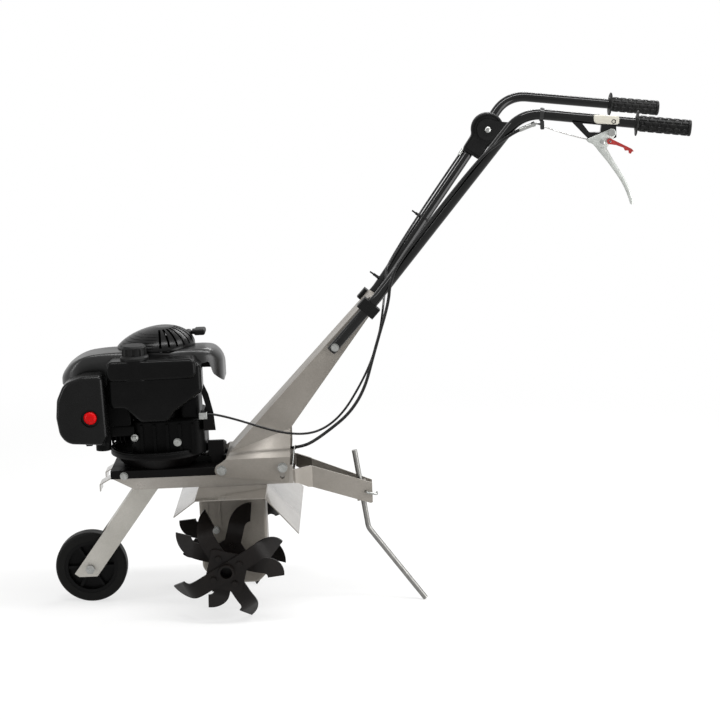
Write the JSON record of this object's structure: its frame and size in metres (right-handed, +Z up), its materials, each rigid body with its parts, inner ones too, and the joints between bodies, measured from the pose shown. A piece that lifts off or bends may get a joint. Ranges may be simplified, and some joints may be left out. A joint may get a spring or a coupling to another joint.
{
  "type": "garden tiller",
  "caption": "Walk-behind petrol garden tiller with hooked tines, folding front wheel, sheet-metal handle column, bent tube handles, vertical-shaft engine and rear skid bar.",
  "frame": {"origin": "centre of the floor area that the tiller stands over", "axes": "+X to the rear, towards the hand grips; +Y to the machine's right, away from the camera; +Z up"},
  "size_m": [1.3631, 0.5456, 1.1268],
  "materials": {
    "silver_paint": "satin",
    "black_paint": "gloss",
    "black_casting": "satin",
    "cast_lever": "satin",
    "exhaust_steel": "matte",
    "gloss_plastic": "gloss",
    "matte_plastic": "matte",
    "red_plastic": "satin",
    "filter_felt": "matte",
    "zinc_steel": "satin",
    "bright_steel": "polished",
    "pulley_iron": "matte",
    "bronze": "satin",
    "tine_paint": "satin",
    "grip_rubber": "matte",
    "cable_sheath": "satin",
    "tyre_rubber": "matte",
    "rim_plastic": "satin",
    "pale_plastic": "satin"
  },
  "bodies": {
    "frame": {"chassis_pan": "silver_paint", "engine_deck": "black_paint", "pulley_housing": "black_paint", "crankcase": "black_casting", "cylinder": "black_casting", "spark_plug": "matte_plastic", "muffler": "exhaust_steel", "carburettor": "black_casting", "blower_housing": "gloss_plastic", "recoil_cover": "gloss_plastic", "fuel_tank": "gloss_plastic", "air_filter_base": "matte_plastic", "air_filter_element": "filter_felt", "air_filter_cover": "matte_plastic", "control_bracket": "black_paint", "gearcase_left": "silver_paint", "gearcase_right": "silver_paint", "shaft_bearings": "bright_steel", "tine_guard": "silver_paint", "hitch_bracket": "silver_paint", "drive_belt": "grip_rubber", "frame_fasteners": "zinc_steel"},
    "wheel_arm": {"wheel_fork": "silver_paint", "wheel_axle": "zinc_steel"},
    "wheel": {"wheel_tyre": "tyre_rubber", "wheel_rim": "rim_plastic"},
    "tines": {"tine_shaft": "bright_steel", "worm_wheel": "bronze", "tine_hubs": "tine_paint", "tine_blades_left": "tine_paint", "tine_blades_right": "tine_paint", "tine_bolts": "tine_paint", "tine_pins": "zinc_steel"},
    "worm": {"worm_shaft": "bright_steel", "driven_pulley": "pulley_iron"},
    "crank": {"crankshaft": "bright_steel", "drive_pulley": "pulley_iron", "flywheel": "pulley_iron"},
    "handle": {"column": "silver_paint", "handlebar_left": "black_paint", "handlebar_right": "black_paint", "handle_grips": "grip_rubber", "handlebar_clamps": "black_paint", "lever_bracket": "black_paint", "throttle_housing": "matte_plastic", "column_fasteners": "zinc_steel", "clutch_cable": "cable_sheath", "throttle_cable": "cable_sheath", "lever_plate": "pale_plastic", "cable_adjuster": "zinc_steel"},
    "clutch": {"clutch_lever": "cast_lever"},
    "catch": {"safety_catch": "red_plastic"},
    "throttle": {"throttle_lever": "matte_plastic"},
    "skid": {"skid_bar": "zinc_steel"},
    "skid_lock": {"skid_pin": "zinc_steel"},
    "idler": {"idler_arm": "zinc_steel"},
    "idler_roller": {"idler_pulley": "pulley_iron"},
    "starter": {"starter_grip": "matte_plastic"},
    "cap": {"fuel_cap": "matte_plastic"},
    "primer": {"primer_bulb": "red_plastic"}
  },
  "joints": [
    {"name": "fork_fold", "type": "hinge", "parent": "frame", "child": "wheel_arm", "pos_m": [-0.45802, 0, 0.28922], "axis": [0, 1, 0], "range_deg": [0, 40]},
    {"name": "wheel_spin", "type": "hinge", "parent": "wheel_arm", "child": "wheel", "pos_m": [-0.60153, 0, 0.08], "axis": [0, 1, 0], "continuous": true},
    {"name": "tine_spin", "type": "hinge", "parent": "frame", "child": "tines", "pos_m": [-0.2875, 0, 0.1205], "axis": [0, 1, 0], "continuous": true},
    {"name": "worm_spin", "type": "hinge", "parent": "frame", "child": "worm", "pos_m": [-0.22456, 0, 0.12325], "axis": [-0.0436, 0, 0.999], "continuous": true},
    {"name": "crank_spin", "type": "hinge", "parent": "frame", "child": "crank", "pos_m": [-0.44545, 0, 0.41389], "axis": [-0.0436, 0, 0.999], "continuous": true},
    {"name": "column_tilt", "type": "hinge", "parent": "frame", "child": "handle", "pos_m": [-0.30204, 0, 0.32066], "axis": [0, -1, 0], "range_deg": [0, 8.6], "deforming": ["clutch_cable", "throttle_cable"]},
    {"name": "clutch_squeeze", "type": "hinge", "parent": "handle", "child": "clutch", "pos_m": [0.51761, -0.24408, 1.07553], "axis": [0, -1, 0], "range_deg": [0, 60], "stiffness_Nm_per_rad": 3, "springref_deg": -17.19},
    {"name": "catch_fold", "type": "hinge", "parent": "clutch", "child": "catch", "pos_m": [0.51435, -0.25488, 1.05837], "axis": [0, -1, 0], "range_deg": [-45, 0]},
    {"name": "throttle_turn", "type": "hinge", "parent": "handle", "child": "throttle", "pos_m": [0.28753, 0.1818, 1.04425], "axis": [0, -1, 0], "range_deg": [-20, 40]},
    {"name": "skid_slide", "type": "slide", "parent": "frame", "child": "skid", "axis": [-0.176, 0, 0.9844], "range_m": [-0.05, 0.06]},
    {"name": "skid_pin_pull", "type": "slide", "parent": "frame", "child": "skid_lock", "axis": [0, -1, 0], "range_m": [0, 0.04]},
    {"name": "idler_swing", "type": "hinge", "parent": "frame", "child": "idler", "pos_m": [-0.38888, 0.002, 0.33328], "axis": [-0.0436, 0, 0.999], "range_deg": [-4.5, 0]},
    {"name": "idler_spin", "type": "hinge", "parent": "idler", "child": "idler_roller", "pos_m": [-0.33893, -0.006, 0.33546], "axis": [-0.0436, 0, 0.999], "continuous": true},
    {"name": "starter_pull", "type": "slide", "parent": "frame", "child": "starter", "axis": [0.9537, 0, 0.3007], "range_m": [0, 0.25], "stiffness_N_per_m": 60, "springref_m": -0.1},
    {"name": "cap_turn", "type": "hinge", "parent": "frame", "child": "cap", "pos_m": [-0.48583, -0.11, 0.58229], "axis": [-0.0436, 0, 0.999], "range_deg": [0, 120]},
    {"name": "primer_push", "type": "slide", "parent": "frame", "child": "primer", "axis": [0, 1, 0], "range_m": [0, 0.005], "stiffness_N_per_m": 1500, "springref_m": -0.001}
  ],
  "couplings": [
    {"joint": "worm_spin", "follows": "tine_spin", "ratio": 25},
    {"joint": "catch_fold", "follows": "clutch_squeeze", "ratio": -0.75},
    {"joint": "idler_swing", "follows": "clutch_squeeze", "ratio": -0.073333}
  ]
}
